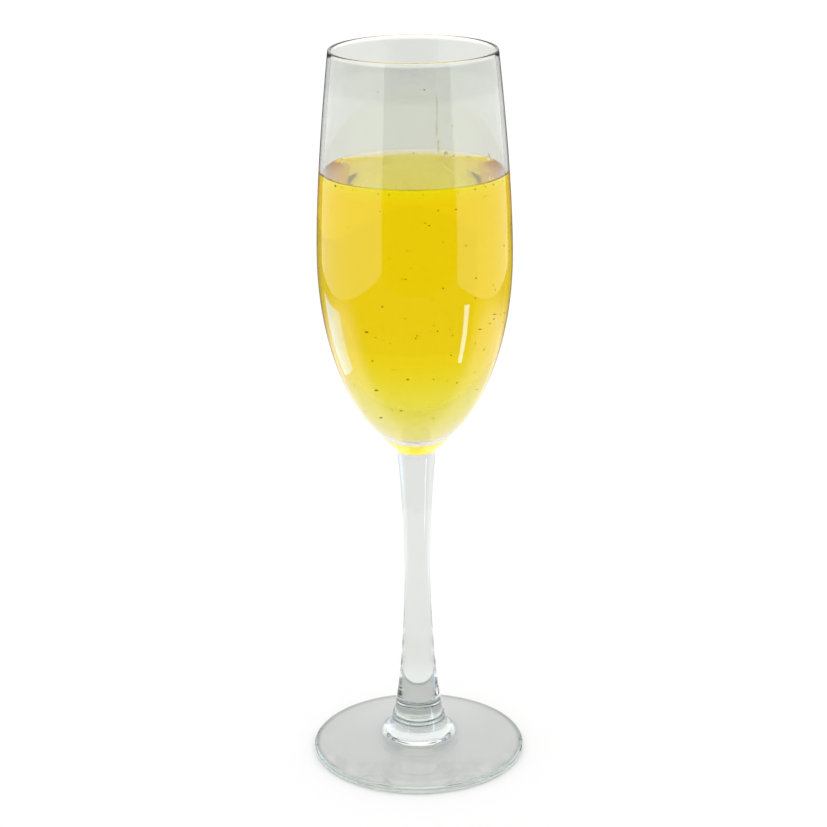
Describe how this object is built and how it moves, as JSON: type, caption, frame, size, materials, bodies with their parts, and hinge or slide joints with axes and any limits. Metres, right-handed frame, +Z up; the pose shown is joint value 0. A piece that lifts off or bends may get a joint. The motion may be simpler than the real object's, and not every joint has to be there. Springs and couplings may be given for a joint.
{
  "type": "champagne flute",
  "caption": "Clear stemmed flute glass with a tall tapering bowl, waisted stem and round foot, filled with golden sparkling wine.",
  "frame": {"origin": "centre of the foot's resting ring, on the surface that the glass stands on", "axes": "+Z up along the glass's axis of revolution, towards the rim; X and Y are any two level directions"},
  "size_m": [0.0668, 0.0668, 0.225],
  "materials": {
    "bowl_glass": "polished",
    "stem_glass": "polished",
    "foot_glass": "polished",
    "wine": "gloss"
  },
  "bodies": {
    "root": {"bowl": "bowl_glass", "stem": "stem_glass", "foot": "foot_glass", "champagne": "wine"}
  },
  "joints": []
}
